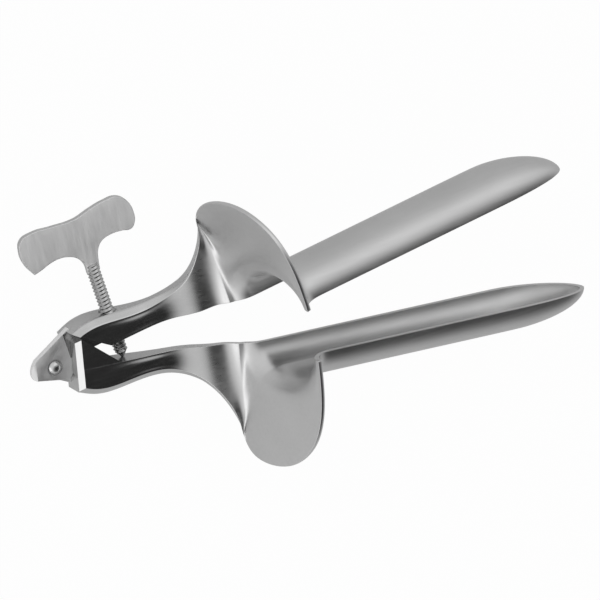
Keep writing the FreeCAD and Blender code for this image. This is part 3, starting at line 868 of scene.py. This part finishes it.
rivet_profile = [(0.0, 0.0), (RIVET_HEAD, 0.0), (RIVET_SHANK, 0.7), (RIVET_SHANK, RIVET_TOP - 0.75),
                 (RIVET_HEAD, RIVET_TOP - 0.75), (RIVET_HEAD, RIVET_RIM)]
cap = RIVET_CROWN - RIVET_RIM
ball = (RIVET_HEAD ** 2 + cap ** 2) / (2 * cap)
dome_angle = math.asin(RIVET_HEAD / ball)
for step in range(9, -1, -1):
    angle = dome_angle * step / 10
    radius = ball * math.sin(angle) if step else 0.0
    rivet_profile.append((radius, RIVET_CROWN - ball + ball * math.cos(angle)))
rivet = turned(rivet_profile)
rivet_steel = steel("rivet_steel", 0.55, 0.24, (700.0, 700.0, 700.0), 0.00001, 0.04)
dress(rivet, "rivet_pin", "lower_valve", ["pivot_rivet"], [rivet_steel], -1.0)

# Thumbscrew shank
# A turned screw with a V thread up to its slotted end, which holds the plate. The thread's
# spacing is the one seen in the photo, wider than the 0.8 mm that the joint advances in a turn.

THREAD_RADIUS = 2.45
THREAD_DEPTH = 0.55
THREAD_PITCH = 1.35
THREAD_TOP = 29.2
SLOT_FLOOR = 26.4
PLATE_THICK = 2.0
POINT_LENGTH = 2.0
RUNNING_GAP = 0.05

opening = math.radians(13.7)
point_end = 2 * RUNNING_GAP - SCREW_X * math.tan(opening) - LOWER_INSET / math.cos(opening)
thread_bottom = point_end + POINT_LENGTH + RUNNING_GAP


def thread_tree():
    """A grid rolled into a closed shank, its radius following the helix and fading at the ends."""
    tree = bpy.data.node_groups.new("rolled_thread", "GeometryNodeTree")
    sockets = {}
    for name in ("Radius", "Depth", "Pitch", "Length", "Fade"):
        sockets[name] = tree.interface.new_socket(
            name, in_out="INPUT", socket_type="NodeSocketFloat").identifier
    sockets["Steel"] = tree.interface.new_socket(
        "Steel", in_out="INPUT", socket_type="NodeSocketMaterial").identifier
    tree.interface.new_socket("Geometry", in_out="OUTPUT", socket_type="NodeSocketGeometry")
    wish = tree.nodes.new("NodeGroupInput")
    made = tree.nodes.new("NodeGroupOutput")
    grid = node(tree, "GeometryNodeMeshGrid", {
        "Size X": 1.0, "Size Y": 1.0, "Vertices X": 37, "Vertices Y": 561})
    spot = tree.nodes.new("GeometryNodeInputPosition")
    split = tree.nodes.new("ShaderNodeSeparateXYZ")
    tree.links.new(spot.outputs[0], split.inputs[0])

    def sum_of(operation, first, second=None, third=None):
        item = node(tree, "ShaderNodeMath", operation=operation)
        for index, entry in enumerate((first, second, third)):
            if entry is None:
                continue
            if isinstance(entry, (int, float)):
                item.inputs[index].default_value = entry
            else:
                tree.links.new(entry, item.inputs[index])
        return item.outputs[0]

    turn = sum_of("ADD", split.outputs[0], 0.5)
    level = sum_of("ADD", split.outputs[1], 0.5)
    height = sum_of("MULTIPLY", level, wish.outputs["Length"])
    angle = sum_of("MULTIPLY", turn, 2 * math.pi)
    turns_up = sum_of("SUBTRACT", sum_of("DIVIDE", height, wish.outputs["Pitch"]), turn)
    wave = sum_of("PINGPONG", turns_up, 0.5)
    crest = sum_of("MULTIPLY", wave, 2.0)
    left = sum_of("SUBTRACT", wish.outputs["Length"], height)
    from_end = sum_of("MINIMUM", height, left)
    fade = sum_of("MINIMUM", sum_of("DIVIDE", from_end, wish.outputs["Fade"]), 1.0)
    groove = sum_of("MULTIPLY", sum_of("SUBTRACT", 1.0, crest), wish.outputs["Depth"])
    ends = sum_of("MULTIPLY", sum_of("SUBTRACT", 1.0, fade), wish.outputs["Depth"])
    radius = sum_of("SUBTRACT", wish.outputs["Radius"], sum_of("MAXIMUM", groove, ends))
    closing = sum_of("GREATER_THAN", from_end, 0.001)
    radius = sum_of("MULTIPLY", radius, closing)
    x = sum_of("MULTIPLY", radius, sum_of("COSINE", angle))
    y = sum_of("MULTIPLY", radius, sum_of("SINE", angle))
    rolled = tree.nodes.new("ShaderNodeCombineXYZ")
    tree.links.new(x, rolled.inputs[0])
    tree.links.new(y, rolled.inputs[1])
    tree.links.new(height, rolled.inputs[2])
    moved = tree.nodes.new("GeometryNodeSetPosition")
    tree.links.new(grid.outputs[0], moved.inputs["Geometry"])
    tree.links.new(rolled.outputs[0], moved.inputs["Position"])
    welded = node(tree, "GeometryNodeMergeByDistance", {"Distance": 0.0005})
    tree.links.new(moved.outputs[0], welded.inputs["Geometry"])
    whole = tree.nodes.new("GeometryNodeRealizeInstances")
    tree.links.new(welded.outputs[0], whole.inputs[0])
    coloured = tree.nodes.new("GeometryNodeSetMaterial")
    tree.links.new(whole.outputs[0], coloured.inputs["Geometry"])
    tree.links.new(wish.outputs["Steel"], coloured.inputs["Material"])
    tree.links.new(coloured.outputs[0], made.inputs[0])
    return tree, sockets


screw_steel = steel("screw_steel", 0.42, 0.16, (900.0, 900.0, 900.0), 0.00001, 0.06)
shank = add_object("shank", bpy.data.meshes.new("shank"))
rolling = shank.modifiers.new("thread", "NODES")
rolling.node_group, thread_sockets = thread_tree()
thread_length = THREAD_TOP - thread_bottom
for name, amount in (("Radius", THREAD_RADIUS), ("Depth", THREAD_DEPTH), ("Pitch", THREAD_PITCH),
                     ("Length", thread_length), ("Fade", 0.5), ("Steel", screw_steel)):
    rolling[thread_sockets[name]] = amount
finished(shank)
work = bmesh.new()
work.from_mesh(shank.data)
bmesh.ops.recalc_face_normals(work, faces=work.faces)
work.to_mesh(shank.data)
work.free()
shank.data.transform(along_screw @ Matrix.Translation((0.0, 0.0, thread_bottom)))
slot_half = 0.5 * PLATE_THICK
slot_cutter = prism([(SCREW_X - 5.0, SLOT_FLOOR), (SCREW_X + 5.0, SLOT_FLOOR),
                     (SCREW_X + 5.0, 40.0), (SCREW_X - 5.0, 40.0)],
                    SCREW_Z - slot_half, SCREW_Z + slot_half)
combine(shank, slot_cutter, "DIFFERENCE")
dress(shank, "threaded_shank", "thumbscrew", ["screw_shank"], [screw_steel])

# Swivel point
# A small turned cone on a stem inside the shank's end. It stays still while the screw turns.

POINT_BASE = 1.9
POINT_FLAT = 0.6
STEM = 1.0
STEM_LENGTH = 3.0

point_top = point_end + POINT_LENGTH
tip_profile = [(0.0, point_end), (POINT_FLAT - 0.1, point_end), (POINT_FLAT, point_end + 0.1),
               (POINT_BASE - 0.1, point_top - 0.15), (POINT_BASE, point_top - 0.05),
               (POINT_BASE - 0.1, point_top), (STEM, point_top),
               (STEM, point_top + STEM_LENGTH), (0.0, point_top + STEM_LENGTH)]
tip = turned(tip_profile, along_screw)
dress(tip, "swivel_point", "screw_point", ["swivel_tip"], [screw_steel])

# Thumb plate
# A flat dog-bone plate of satin sheet with rounded edges, let into the screw's slot and brazed.

PLATE_EDGE = 0.4
PLATE_OUTLINE = [
    (3.8, 34.8, True), (1.5, 39.8, False), (1.2, 44.8, False), (2.9, 48.6, False), (7.6, 49.5, False),
    (15.2, 48.3, False), (23.6, 47.2, False), (30.1, 48.2, False), (35.6, 48.7, False),
    (41.2, 48.0, False), (44.2, 44.6, False), (45.1, 39.5, False), (44.3, 36.4, False),
    (42.4, 34.7, False), (38.6, 35.6, False), (34.3, 36.1, False), (30.8, 35.4, False),
    (28.7, 33.4, False), (27.2, 28.5, False), (26.9, SLOT_FLOOR, True), (22.1, SLOT_FLOOR, True),
    (22.0, 30.4, False), (20.2, 33.5, False), (17.5, 35.3, False), (14.4, 36.2, False),
    (10.4, 36.1, False), (7.0, 35.3, False),
]
outline = bpy.data.curves.new("plate_outline", "CURVE")
outline.dimensions = "2D"
outline.fill_mode = "BOTH"
outline.resolution_u = 8
outline.extrude = 0.5 * PLATE_THICK - PLATE_EDGE
outline.bevel_depth = PLATE_EDGE
outline.bevel_resolution = 3
outline.offset = -PLATE_EDGE
track = outline.splines.new("BEZIER")
track.bezier_points.add(len(PLATE_OUTLINE) - 1)
for knot, (x, level, cornered) in zip(track.bezier_points, PLATE_OUTLINE):
    knot.co = (x, level, 0.0)
    knot.handle_left_type = "VECTOR" if cornered else "AUTO"
    knot.handle_right_type = "VECTOR" if cornered else "AUTO"
track.use_cyclic_u = True
plate_curve = bpy.data.objects.new("plate_curve", outline)
bpy.context.scene.collection.objects.link(plate_curve)
bpy.context.view_layer.update()
depsgraph = bpy.context.evaluated_depsgraph_get()
plate_mesh = bpy.data.meshes.new_from_object(plate_curve.evaluated_get(depsgraph), depsgraph=depsgraph)
bpy.data.objects.remove(plate_curve)
work = bmesh.new()
work.from_mesh(plate_mesh)
bmesh.ops.remove_doubles(work, verts=work.verts, dist=0.001)
bmesh.ops.recalc_face_normals(work, faces=work.faces)
work.to_mesh(plate_mesh)
work.free()
plate_mesh.transform(Matrix.Translation((0.0, 0.0, SCREW_Z)))
# Faces are split by which way they face: the flat sides take the near-white painted light, the rounded
# rim the darker painted shade.
for polygon in plate_mesh.polygons:
    polygon.material_index = 0 if abs(polygon.normal.z) > 0.95 else 1
plate = add_object("plate", plate_mesh)
# Grey 0.98 on the flat faces is painted light; on the rim, grey 0.5 is painted shade and its lower
# roughness a real polish.
plate_steel = steel("plate_steel", 0.98, 0.7, (700.0, 90.0, 700.0), 0.00001, 0.03)
rim_painted_shade_steel = steel("plate_rim_painted_shade_steel", 0.5, 0.3, (700.0, 700.0, 700.0), 0.00001, 0.03)
dress(plate, "dog_bone_plate", "thumbscrew", ["thumb_plate"], [plate_steel, rim_painted_shade_steel])
